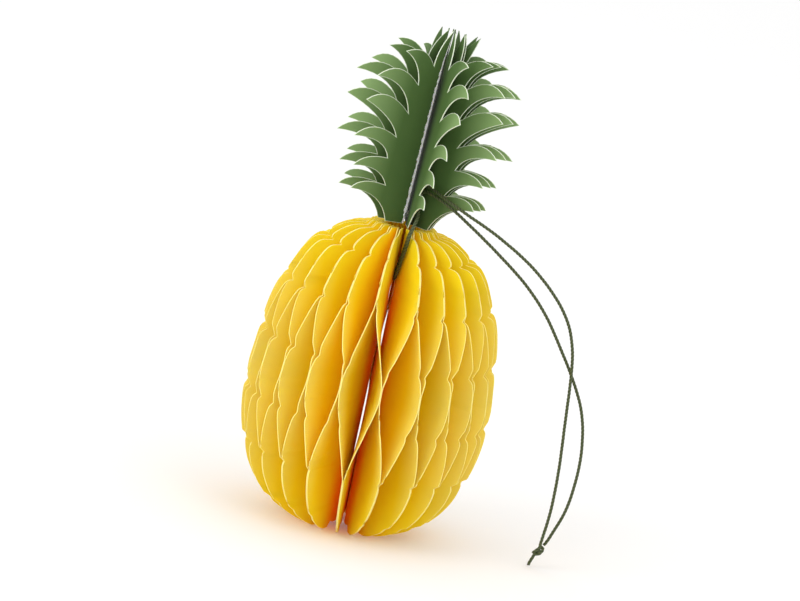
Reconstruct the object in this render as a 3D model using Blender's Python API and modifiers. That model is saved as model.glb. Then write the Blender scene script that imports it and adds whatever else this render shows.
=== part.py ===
"""Honeycomb paper pineapple: a card ornament that opens like a book into a round pineapple.

The body is a full turn of yellow half-outline leaves round a hollow core. Neighbouring leaves are
glued to each other by turns: in pairs at the top and bottom, and each to its other neighbour in a
band at mid height, so that the fan opens into pointed honeycomb cells. The crown is a smaller fan of
green leaves with curved side tips. A waxed cord comes out of the core at the front seam, passes
through the crown and hangs in a loop that ends in a knot.

Units are metres, +Z is up, the front seam faces -Y, and the part stands on z = 0 with its axis on Z.
An azimuth is measured from the front (-Y), and is positive to the right (+X).
"""

import math

import bmesh
import bpy
from mathutils import Matrix, Vector

MM = 0.001

# The card: one thickness for every leaf, and the film of glue between two that are stuck together.
CARD = 0.30 * MM
GLUE_FILM = 0.30 * MM

# The body's two driving sizes. Its leaves' outline and the cord's heights scale with them.
BODY_RADIUS = 36.4 * MM
BODY_HEIGHT = 91.2 * MM

# Body fan: pairs of leaves on each side of the front seam, and where the first and last ones stand.
PAIRS_A_SIDE = 11
FIRST_PAIR_RIGHT = math.radians(18.0)
LAST_PAIR_RIGHT = math.radians(175.0)
FIRST_PAIR_LEFT = math.radians(-6.5)
LAST_PAIR_LEFT = math.radians(-169.0)
FAN_EASE_RIGHT = 1.008
FAN_EASE_LEFT = 1.032
SEAM_CLOSING_RIGHT = math.radians(3.3)  # how far the seam's own pairs turn inwards at the ground
SEAM_CLOSING_LEFT = math.radians(4.5)
SLIT_WIDTH = 0.50 * MM  # clear width between neighbouring pairs where they meet the core

# Heights at which the leaves are glued: in pairs above UPPER_JOINT and below LOWER_JOINT, and to
# their other neighbours between the two MIDDLE_BAND heights.
UPPER_JOINT = 72.4 * MM
MIDDLE_BAND_TOP = 49.5 * MM
MIDDLE_BAND_BOTTOM = 45.0 * MM
LOWER_JOINT = 20.2 * MM
TURN_STEPS = 4  # level cuts in each stretch where a leaf swings from one neighbour to the other
SWING_EASE = 0.35  # 0 swings evenly with height, 1 starts and ends softly

# Cut outline of a body leaf, drawn as (radius, height) in millimetres, lobe by lobe from the top.
BODY_SPINE_TOP = 91.0
BODY_SPINE_BOTTOM = 1.4
BODY_LOBES = (
    ((9.6, 91.2),),
    ((11.0, 89.6), (15.2, 89.0), (18.4, 87.4), (20.6, 85.6), (21.0, 84.4)),
    ((20.4, 83.7), (24.2, 83.1), (27.2, 79.6), (29.6, 74.6), (30.5, 72.2)),
    ((30.0, 70.3), (31.8, 69.3), (33.3, 65.6), (34.4, 60.4), (34.8, 57.3)),
    ((33.6, 54.1), (35.2, 52.4), (35.9, 47.4), (36.4, 42.4), (36.3, 39.2)),
    ((35.2, 36.3), (36.3, 34.5), (35.9, 29.4), (34.9, 24.4), (34.1, 21.8)),
    ((32.4, 20.6), (32.6, 18.6), (31.2, 14.2), (28.6, 9.8), (25.6, 6.3)),
    ((23.4, 5.2), (21.6, 3.5), (17.2, 1.2), (13.6, 0.0), (11.0, 0.0)),
    ((9.4, 1.7), (7.6, 1.2)),
)

# Crown: its leaves stand on the body's top, round a small hollow of their own.
CROWN_SEAT_GAP = 0.30 * MM
CROWN_LEAN = math.radians(2.0)
CROWN_CORE_RADIUS = 2.2 * MM
CROWN_HEIGHT = 58.3
CROWN_BASE_RADIUS = 8.2
CROWN_TIP_STEPS = 3
CROWN_LEVELS = (6.0, 12.0, 18.0, 26.0, 36.0, 44.0, 51.0)
THREAD_HOLE_HEIGHT = 2.7
THREAD_HOLE_RADIUS = 0.6
THREAD_HOLE_STEPS = 4
FLARE_START = 44.0  # height above which a leaf's top may lean away from the axis
DROOP_START = 12.0  # height at which the side tips droop fully: not at all at the base

# Side tips from the top down, as (radius, height) in millimetres above the crown's base: the point
# of the notch above the tip, the crest that bends its upper edge, the tip, and the bend below it.
CROWN_TOP_BEND = (5.9, 53.5)
CROWN_TIPS = (
    ((5.4, 47.5), (10.5, 54.3), (17.9, 52.0), (10.6, 48.8)),
    ((9.3, 41.8), (18.5, 50.2), (25.4, 44.5), (13.4, 43.2)),
    ((10.1, 33.2), (20.0, 42.0), (26.4, 37.1), (14.8, 31.8)),
    ((12.1, 26.0), (21.5, 31.6), (26.7, 26.1), (15.2, 25.6)),
    ((13.0, 19.5), (21.0, 20.9), (23.8, 17.0), (14.2, 17.2)),
    ((11.2, 11.2), (20.0, 13.9), (22.3, 9.6), (11.2, 8.6)),
)

# Each crown leaf, from the front seam to the right and round: its azimuth in degrees at the spine,
# at the base and at the top, how far in millimetres its top leans outwards, and how far a point of
# it droops as a share of its reach.
CROWN_LEAVES = (
    (13.0, 8.5, 26.0, 1.6, 0.06),
    (52.0, 60.0, 46.0, 3.0, -0.02),
    (67.0, 71.0, 58.0, 2.6, -0.02),
    (84.0, 88.0, 66.0, 7.0, 0.01),
    (108.0, 112.0, 112.0, 6.0, 0.1),
    (134.0, 140.0, 140.0, 0.6, 0.13),
    (156.0, 162.0, 160.0, 0.0, 0.13),
    (170.0, 187.0, 187.0, 0.0, 0.12),
    (206.0, 210.0, 202.0, 0.0, 0.12),
    (242.0, 252.0, 230.0, 1.4, 0.08),
    (288.0, 286.0, 288.0, -1.4, 0.11),
    (352.0, 298.0, 315.5, -1.4, 0.08),
)

# The hanging cord: two strands side by side, as (x, y, z) in millimetres. Each starts at the back
# of the core, leaves it through the seam, climbs into the crown and arches over to the knot.
CORD_DIAMETER = 1.0 * MM
CORD_SPACING = 6.0 * MM  # a longer stretch of the route gets points between its ends
OUTER_STRAND_ROUTE = (
    (-0.1, 4.6, 77.0), (0.1, -1.0, 77.0), (0.4, -4.8, 77.6), (0.8, -6.8, 80.2), (1.3, -8.4, 83.8),
    (1.8, -9.7, 87.4), (2.15, -10.1, 90.4), (2.75, -9.6, 92.3), (3.1, -8.3, 93.8), (2.9, -6.2, 95.6),
    (2.3, -3.9, 97.9), (1.95, -2.7, 100.6), (2.6, -3.1, 103.0), (4.8, -5.0, 104.4),
    (11.4, -10.3, 102.3), (17.6, -12.4, 99.9), (27.1, -12.8, 95.8), (38.1, -12.2, 89.4),
    (46.8, -11.4, 82.0), (52.4, -10.6, 74.8), (55.4, -10.0, 67.2), (56.8, -9.6, 58.8),
    (58.0, -9.1, 45.2), (59.2, -8.6, 30.8), (59.5, -8.0, 18.6), (58.9, -7.4, 10.0), (58.65, -7.1, 7.4),
)
INNER_STRAND_ROUTE = (
    (0.1, 4.6, 75.6), (0.1, -1.0, 75.5), (0.5, -5.6, 75.9), (1.0, -8.1, 78.6), (1.55, -9.9, 82.9),
    (2.1, -11.3, 87.0), (2.5, -11.9, 90.8), (3.05, -11.2, 93.4), (3.5, -9.4, 95.2), (3.4, -7.1, 97.1),
    (3.0, -4.9, 99.3), (2.95, -3.95, 101.1), (3.7, -4.6, 102.5), (5.8, -6.2, 102.7),
    (11.7, -9.7, 100.8), (19.8, -11.3, 96.2), (29.3, -11.0, 89.8), (38.2, -10.2, 83.0),
    (45.8, -9.3, 75.2), (52.6, -8.4, 65.6), (57.6, -7.6, 57.8), (61.6, -7.2, 50.1),
    (63.9, -6.8, 42.0), (64.9, -6.6, 32.0), (64.0, -6.4, 19.8), (61.1, -6.3, 10.4), (59.8, -6.3, 7.3),
)
KNOT_CENTRE = (58.3, -6.5, 5.3)
KNOT_RADII = (2.1, 1.5, 1.4)
KNOT_TILT = math.radians(33.0)  # how far the knot's long way rises towards +X
TAIL_START = 0.5  # share of the knot's long radius, on its low side, where the tail begins
TAIL_END = (56.5, -6.2, 0.0)

YELLOW_CARD = ("yellow_card", (0.80, 0.52, 0.02), 0.75)
GREEN_CARD = ("green_card", (0.10, 0.19, 0.06), 0.75)
WAXED_CORD = ("waxed_cord", (0.045, 0.075, 0.02), 0.60)


def clear_scene():
    """Removes what the startup file holds."""
    for obj in list(bpy.data.objects):
        bpy.data.objects.remove(obj, do_unlink=True)


def material(spec):
    """Makes a Principled material from (name, base colour, roughness)."""
    name, colour, roughness = spec
    made = bpy.data.materials.new(name)
    made.use_nodes = True
    shader = made.node_tree.nodes["Principled BSDF"]
    shader.inputs["Base Color"].default_value = (*colour, 1.0)
    shader.inputs["Roughness"].default_value = roughness
    shader.inputs["Metallic"].default_value = 0.0
    return made


def new_object(name, data, collection, made):
    """Links a named object with its own material."""
    obj = bpy.data.objects.new(name, data)
    collection.objects.link(obj)
    data.materials.append(made)
    return obj


def direction(azimuth):
    """The level unit vector at an azimuth: 0 is the front, positive to the right."""
    return Vector((math.sin(azimuth), -math.cos(azimuth), 0.0))


def between(start, end, share):
    """The value a share of the way from start to end."""
    return start + (end - start) * share


def bend(start, control, end, steps):
    """Points of a quadratic curve after its start, up to and with its end."""
    points = []
    for step in range(1, steps + 1):
        t = step / steps
        points.append(tuple(
            (1 - t) ** 2 * a + 2 * t * (1 - t) * b + t ** 2 * c
            for a, b, c in zip(start, control, end)
        ))
    return points


def flat_leaf(outline, levels):
    """A flat leaf in the XZ plane from its (radius, height) outline, cut at levels and triangulated."""
    sheet = bmesh.new()
    sheet.faces.new([sheet.verts.new((radius, 0.0, height)) for radius, height in outline])
    for level in levels:
        bmesh.ops.bisect_plane(
            sheet,
            geom=[*sheet.verts, *sheet.edges, *sheet.faces],
            dist=1e-7,
            plane_co=(0.0, 0.0, level),
            plane_no=(0.0, 0.0, 1.0),
        )
    bmesh.ops.triangulate(sheet, faces=sheet.faces[:])
    return sheet


def card_leaf(name, sheet, place, collection, made):
    """Bends a flat leaf by the function place(radius, height) and gives it the card's thickness."""
    for vertex in sheet.verts:
        vertex.co = place(vertex.co.x, vertex.co.z)
    mesh = bpy.data.meshes.new(name)
    sheet.to_mesh(mesh)
    sheet.free()
    leaf = new_object(name, mesh, collection, made)
    card = leaf.modifiers.new("card thickness", "SOLIDIFY")
    card.thickness = CARD
    card.offset = 0.0
    return leaf


def pair_azimuth(index, height):
    """Azimuth of a pair at a height. Index 0 is right of the seam, and -1 is left of it."""
    turns, number = divmod(index, 2 * PAIRS_A_SIDE)
    full_turn = 2 * math.pi
    if number < PAIRS_A_SIDE:
        share = number / (PAIRS_A_SIDE - 1)
        azimuth = between(FIRST_PAIR_RIGHT, LAST_PAIR_RIGHT, share ** FAN_EASE_RIGHT)
        closing = -SEAM_CLOSING_RIGHT
    else:
        share = (2 * PAIRS_A_SIDE - 1 - number) / (PAIRS_A_SIDE - 1)
        azimuth = between(FIRST_PAIR_LEFT, LAST_PAIR_LEFT, share ** FAN_EASE_LEFT) + full_turn
        closing = SEAM_CLOSING_LEFT
    if share == 0.0:
        azimuth += closing * (1 - height / BODY_HEIGHT)
    return azimuth + turns * full_turn


def core_radius():
    """Radius of the hollow core: the closest two pairs leave the slit open between them there."""
    pairs = [pair_azimuth(index, BODY_HEIGHT) for index in range(2 * PAIRS_A_SIDE)]
    closest = min(b - a for a, b in zip(pairs, pairs[1:]))
    pair_width = 2 * CARD + GLUE_FILM
    return (pair_width + SLIT_WIDTH) / (2 * math.sin(closest / 2))


def swing(height):
    """How far a leaf has swung from its pair (0) to its other neighbour (1) at a height."""
    if height >= MIDDLE_BAND_TOP:
        even = (UPPER_JOINT - height) / (UPPER_JOINT - MIDDLE_BAND_TOP)
    elif height <= MIDDLE_BAND_BOTTOM:
        even = (height - LOWER_JOINT) / (MIDDLE_BAND_BOTTOM - LOWER_JOINT)
    else:
        even = 1.0
    even = min(max(even, 0.0), 1.0)
    soft = even * even * (3 - 2 * even)
    return between(even, soft, SWING_EASE)


def swing_levels():
    """Heights of the level cuts, from the lower joint to the upper one."""
    lower = [between(LOWER_JOINT, MIDDLE_BAND_BOTTOM, step / TURN_STEPS) for step in range(TURN_STEPS + 1)]
    upper = [between(MIDDLE_BAND_TOP, UPPER_JOINT, step / TURN_STEPS) for step in range(TURN_STEPS + 1)]
    return lower + upper


def height_scale():
    """Real height of the body over the height that it is drawn with."""
    return BODY_HEIGHT / max(height for lobe in BODY_LOBES for radius, height in lobe)


def body_outline():
    """Closed outline of a body leaf, from the top of its spine round to the bottom of its spine."""
    drawn = [point for lobe in BODY_LOBES for point in lobe]
    across = BODY_RADIUS / max(radius for radius, height in drawn)
    up = height_scale()
    core = core_radius()
    edge = [(radius * across, height * up) for radius, height in drawn]
    return [(core, BODY_SPINE_TOP * up), *edge, (core, BODY_SPINE_BOTTOM * up)]


def body_leaf(number, index, side, collection, made):
    """One yellow leaf: glued to its pair at top and bottom, and to its other neighbour between."""
    offset = (CARD + GLUE_FILM) / 2

    def place(radius, height):
        shift = side * math.asin(offset / radius)
        pair = pair_azimuth(index, height)
        contact = between(pair, pair_azimuth(index + side, height), 0.5)
        azimuth = between(pair + shift, contact - shift, swing(height))
        return direction(azimuth) * radius + Vector((0.0, 0.0, height))

    sheet = flat_leaf(body_outline(), swing_levels())
    return card_leaf(f"body_leaf_{number:02d}", sheet, place, collection, made)


def build_body(collection):
    """The yellow fan: two leaves for each pair, one on each side of it."""
    number = 0
    for index in range(2 * PAIRS_A_SIDE):
        for side in (-1, 1):
            number += 1
            body_leaf(number, index, side, collection, material(YELLOW_CARD))


def crown_outline():
    """Closed outline of a crown leaf, from the top of its spine round past the side tips."""
    spine = CROWN_CORE_RADIUS / MM
    top = (spine, CROWN_HEIGHT)
    outline = [top]
    here, control = top, CROWN_TOP_BEND
    for notch, crest, tip, belly in CROWN_TIPS:
        outline += bend(here, control, notch, CROWN_TIP_STEPS)
        outline += bend(notch, crest, tip, CROWN_TIP_STEPS)
        here, control = tip, belly
    outline += bend(here, control, (CROWN_BASE_RADIUS, 0.0), CROWN_TIP_STEPS)
    outline.append((spine, 0.0))
    for step in range(THREAD_HOLE_STEPS + 1):
        turn = math.pi * step / THREAD_HOLE_STEPS
        outline.append((
            spine + THREAD_HOLE_RADIUS * math.sin(turn),
            THREAD_HOLE_HEIGHT - THREAD_HOLE_RADIUS * math.cos(turn),
        ))
    return [(radius * MM, height * MM) for radius, height in outline]


def crown_leaf(number, spine, base, top, flare, droop, collection, made):
    """One green leaf, which turns from its base azimuth to its top azimuth as it rises."""
    root = direction(math.radians(spine)) * CROWN_CORE_RADIUS
    tall = CROWN_HEIGHT * MM
    start = FLARE_START * MM

    def place(radius, height):
        azimuth = math.radians(between(base, top, height / tall))
        lean = flare * MM * max(0.0, (height - start) / (tall - start)) ** 2
        reach = radius - CROWN_CORE_RADIUS + lean
        drop = droop * reach * min(1.0, height / (DROOP_START * MM))
        return root + direction(azimuth) * reach + Vector((0.0, 0.0, height - drop))

    sheet = flat_leaf(crown_outline(), [level * MM for level in CROWN_LEVELS])
    return card_leaf(f"crown_leaf_{number:02d}", sheet, place, collection, made)


def build_crown(collection):
    """The green fan, standing on the body's top and leaning slightly to the right."""
    low_side = CROWN_BASE_RADIUS * MM * math.sin(CROWN_LEAN)
    frame = bpy.data.objects.new("crown_frame", None)
    collection.objects.link(frame)
    frame.location = (0.0, 0.0, BODY_HEIGHT + CROWN_SEAT_GAP + low_side)
    frame.rotation_euler = (0.0, CROWN_LEAN, 0.0)
    for number, row in enumerate(CROWN_LEAVES, 1):
        leaf = crown_leaf(number, *row, collection, material(GREEN_CARD))
        leaf.parent = frame


def route_point(point):
    """The real place of a point that is drawn in millimetres: its height follows the body's."""
    x, y, z = point
    return Vector((x * MM, y * MM, z * height_scale()))


def smooth_route(route):
    """Points of a smooth curve through a route (Catmull-Rom), in metres, closer where it is long."""
    knots = [route_point(point) for point in route]
    ends = [2 * knots[0] - knots[1], *knots, 2 * knots[-1] - knots[-2]]
    points = [knots[0]]
    for a, b, c, d in zip(ends, ends[1:], ends[2:], ends[3:]):
        steps = math.ceil((c - b).length / CORD_SPACING)
        for step in range(1, steps + 1):
            t = step / steps
            points.append(0.5 * (
                2 * b + (c - a) * t + (2 * a - 5 * b + 4 * c - d) * t ** 2
                + (3 * b - a - 3 * c + d) * t ** 3
            ))
    return points


def tube(name, points, collection, made):
    """A cord along points, as a curve with round section and filled caps."""
    curve = bpy.data.curves.new(name, "CURVE")
    curve.dimensions = "3D"
    curve.bevel_depth = CORD_DIAMETER / 2
    curve.bevel_resolution = 2
    curve.use_fill_caps = True
    line = curve.splines.new("POLY")
    line.points.add(len(points) - 1)
    for spot, point in zip(line.points, points):
        spot.co = (*point, 1.0)
    return new_object(name, curve, collection, made)


def cord_tail(top, end, collection):
    """The cut end of the cord: a leaning cylinder with level ends, made for joining to the knot."""
    stub = bmesh.new()
    radius = CORD_DIAMETER / 2
    bmesh.ops.create_cone(stub, cap_ends=True, segments=8, radius1=radius, radius2=radius, depth=1.0)
    for vertex in stub.verts:
        middle = between(end, top, vertex.co.z + 0.5)
        vertex.co = middle + Vector((vertex.co.x, vertex.co.y, 0.0))
    mesh = bpy.data.meshes.new("cord_tail")
    stub.to_mesh(mesh)
    stub.free()
    tail = bpy.data.objects.new("cord_tail", mesh)
    collection.objects.link(tail)
    tail.hide_render = True
    tail.display_type = "WIRE"
    return tail


def build_knot(collection, made):
    """The overhand knot, drawn as its outer form, with the cut tail that reaches the ground."""
    centre = route_point(KNOT_CENTRE)
    radii = Vector(KNOT_RADII) * MM
    tilt = Matrix.Rotation(-KNOT_TILT, 3, "Y")
    ball = bmesh.new()
    bmesh.ops.create_uvsphere(ball, u_segments=12, v_segments=8, radius=1.0)
    for vertex in ball.verts:
        vertex.co = centre + tilt @ (vertex.co * radii)
    mesh = bpy.data.meshes.new("cord_knot")
    ball.to_mesh(mesh)
    ball.free()
    knot = new_object("cord_knot", mesh, collection, made)

    cutters = bpy.data.collections.new("cutters")
    bpy.context.scene.collection.children.link(cutters)
    top = centre - tilt @ Vector((TAIL_START * radii.x, 0.0, 0.0))
    union = knot.modifiers.new("tail", "BOOLEAN")
    union.operation = "UNION"
    union.object = cord_tail(top, route_point(TAIL_END), cutters)
    return knot


def build_cord(collection):
    """Both strands of the hanging cord and the knot that joins them."""
    tube("cord_strand_outer", smooth_route(OUTER_STRAND_ROUTE), collection, material(WAXED_CORD))
    tube("cord_strand_inner", smooth_route(INNER_STRAND_ROUTE), collection, material(WAXED_CORD))
    build_knot(collection, material(WAXED_CORD))


def main():
    """Builds the whole pineapple in one collection."""
    clear_scene()
    pineapple = bpy.data.collections.new("honeycomb_paper_pineapple")
    bpy.context.scene.collection.children.link(pineapple)
    build_body(pineapple)
    build_crown(pineapple)
    build_cord(pineapple)


main()
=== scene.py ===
"""Looks of the honeycomb paper pineapple: card leaves, crown and hanging cord, on a white table.

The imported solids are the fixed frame. Every leaf is rebuilt here as finer bent card in its solid's
place: one geometry nodes tree swings the yellow leaves between their glued neighbours, another turns
the green ones about the crown's core, and a third twists the plies of the cord along its route.

Metres, +Z up, the front seam faces -Y. An azimuth is measured from the front and rises to the right.
"""

from __future__ import annotations

import logging
import math
from dataclasses import dataclass
from enum import Enum
from typing import Any, ClassVar

import bmesh
import bpy
from mathutils import Matrix, Vector

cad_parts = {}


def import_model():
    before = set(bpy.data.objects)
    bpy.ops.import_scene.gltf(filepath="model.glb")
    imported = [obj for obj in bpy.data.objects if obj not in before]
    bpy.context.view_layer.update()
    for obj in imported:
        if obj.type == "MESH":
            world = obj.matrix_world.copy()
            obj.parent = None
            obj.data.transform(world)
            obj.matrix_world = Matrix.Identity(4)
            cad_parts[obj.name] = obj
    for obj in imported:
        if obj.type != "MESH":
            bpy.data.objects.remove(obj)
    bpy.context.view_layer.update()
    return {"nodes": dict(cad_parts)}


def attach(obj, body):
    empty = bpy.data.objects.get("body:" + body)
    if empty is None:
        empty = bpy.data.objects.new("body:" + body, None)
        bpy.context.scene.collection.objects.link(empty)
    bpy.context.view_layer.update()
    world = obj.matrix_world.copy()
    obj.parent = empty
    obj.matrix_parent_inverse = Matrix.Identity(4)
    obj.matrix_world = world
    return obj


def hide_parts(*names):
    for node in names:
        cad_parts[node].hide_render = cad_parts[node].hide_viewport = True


LOG = logging.getLogger("paper_pineapple")

MM = 0.001
BODY = "root"
SMOOTH_ANGLE = math.radians(40.0)

Outline = list[tuple[float, float]]

# The socket that takes each kind of value.
SOCKETS = {
    float: "NodeSocketFloat",
    int: "NodeSocketInt",
    tuple: "NodeSocketVector",
    bpy.types.Object: "NodeSocketObject",
    bpy.types.Material: "NodeSocketMaterial",
}


class Slot(Enum):
    """The material slots' names."""

    YELLOW = "yellow_card"
    GREEN = "green_card"
    CORD = "waxed_cord"


def linear(hex_colour: str) -> tuple[float, float, float, float]:
    """Turns an sRGB hex colour into the linear values that a shader takes.

    Args:
        hex_colour: Six hex digits after a hash sign.

    Returns:
        Red, green, blue and an alpha of 1.
    """
    channels = [int(hex_colour[at:at + 2], 16) / 255 for at in (1, 3, 5)]
    return (*[c / 12.92 if c <= 0.04045 else ((c + 0.055) / 1.055) ** 2.4 for c in channels], 1.0)


def feed(tree: bpy.types.NodeTree, node: bpy.types.Node, feeds: dict[int | str, Any]) -> None:
    """Feeds a node's inputs.

    Sockets that share a name go by number: a mix node takes its share at 0, two numbers at 2 and 3
    and two colours at 6 and 7, and the limits of a random value are 2 and 3.

    Args:
        tree: The node's tree.
        node: The node.
        feeds: What each input gets, by its index or name: another node's output, a node for its
            first output, or a value.
    """
    for key, value in feeds.items():
        source = value.outputs[0] if isinstance(value, bpy.types.Node) else value
        if isinstance(source, bpy.types.NodeSocket):
            tree.links.new(source, node.inputs[key])
        else:
            node.inputs[key].default_value = source


def add_node(tree: bpy.types.NodeTree, kind: str, feeds: dict[int | str, Any] | None = None,
             **settings: Any) -> bpy.types.Node:
    """Adds a node with its settings, and feeds its inputs.

    Args:
        tree: The node tree that takes the node.
        kind: Blender's name for the node.
        feeds: What each input gets, in the way that feed takes it.
        settings: The node's own options.

    Returns:
        The new node.
    """
    node = tree.nodes.new(kind)
    for name, value in settings.items():
        setattr(node, name, value)
    feed(tree, node, feeds or {})
    return node


def new_tree(name: str, given: dict[str, Any], made: dict[str, Any] | None = None) -> tuple:
    """Starts a geometry nodes tree.

    Args:
        name: The tree's name.
        given: Its inputs' names, each with a value of its kind or with a socket type.
        made: Its outputs in the same way, or None for one geometry.

    Returns:
        The tree, its inputs' sockets by name, and its output node.
    """
    tree = bpy.data.node_groups.new(name, "GeometryNodeTree")
    for way, sockets in (("INPUT", given), ("OUTPUT", made or {"Result": "NodeSocketGeometry"})):
        for label, kind in sockets.items():
            socket = kind if isinstance(kind, str) else SOCKETS[type(kind)]
            tree.interface.new_socket(label, in_out=way, socket_type=socket)
    return tree, tree.nodes.new("NodeGroupInput").outputs, tree.nodes.new("NodeGroupOutput")


def new_material(name: str) -> tuple:
    """Starts a material.

    Args:
        name: Its name.

    Returns:
        The material, its node tree and its shader node.
    """
    made = bpy.data.materials.new(name)
    made.use_nodes = True
    return made, made.node_tree, made.node_tree.nodes["Principled BSDF"]


def inputs_from(maker: Any, fields: tuple[str, ...]) -> dict[str, Any]:
    """Takes fields of a sub-assembly as inputs of its tree.

    Args:
        maker: The sub-assembly.
        fields: The fields' names.

    Returns:
        Each field's value by the input's name: upper_joint feeds Upper joint.
    """
    return {name.replace("_", " ").capitalize(): getattr(maker, name) for name in fields}


def grow(name: str, host: bpy.types.Object, tree: bpy.types.NodeTree,
         values: dict[str, Any]) -> bpy.types.Object:
    """Runs a tree on a host object and keeps the result as a plain mesh object at the origin.

    Args:
        name: Name of the finished piece.
        host: The object that carries the tree's modifier. It is removed.
        tree: The geometry nodes tree.
        values: A value for each named input of the tree.

    Returns:
        The finished piece.
    """
    modifier = host.modifiers.new(tree.name, "NODES")
    modifier.node_group = tree
    for socket in tree.interface.items_tree:
        if socket.in_out == "INPUT" and socket.name in values:
            modifier[socket.identifier] = values[socket.name]
    graph = bpy.context.evaluated_depsgraph_get()
    mesh = bpy.data.meshes.new_from_object(host.evaluated_get(graph))
    mesh.name = name
    bpy.data.objects.remove(host)
    mesh.shade_smooth()
    mesh.set_sharp_from_angle(angle=SMOOTH_ANGLE)
    return link(name, mesh)


def link(name: str, data: bpy.types.ID) -> bpy.types.Object:
    """Links a new object at the origin for the data."""
    obj = bpy.data.objects.new(name, data)
    bpy.context.scene.collection.objects.link(obj)
    return obj


def stand_in(piece: bpy.types.Object, slot: Slot, *nodes: str) -> None:
    """Puts a piece on the body in the place of its solids, and hides the solids."""
    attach(piece, BODY)
    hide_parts(*nodes)


def smooth_through(points: list[Vector], steps: int) -> list[Vector]:
    """Points of a Catmull-Rom curve.

    Args:
        points: The points that it passes through.
        steps: Points to make in each stretch.

    Returns:
        The curve's points, with both ends.
    """
    ends = [2 * points[0] - points[1], *points, 2 * points[-1] - points[-2]]
    curve = [points[0]]
    for a, b, c, d in zip(ends, ends[1:], ends[2:], ends[3:]):
        for step in range(1, steps + 1):
            t = step / steps
            curve.append(0.5 * (
                2 * b + (c - a) * t + (2 * a - 5 * b + 4 * c - d) * t ** 2
                + (3 * b - a - 3 * c + d) * t ** 3
            ))
    return curve


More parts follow.
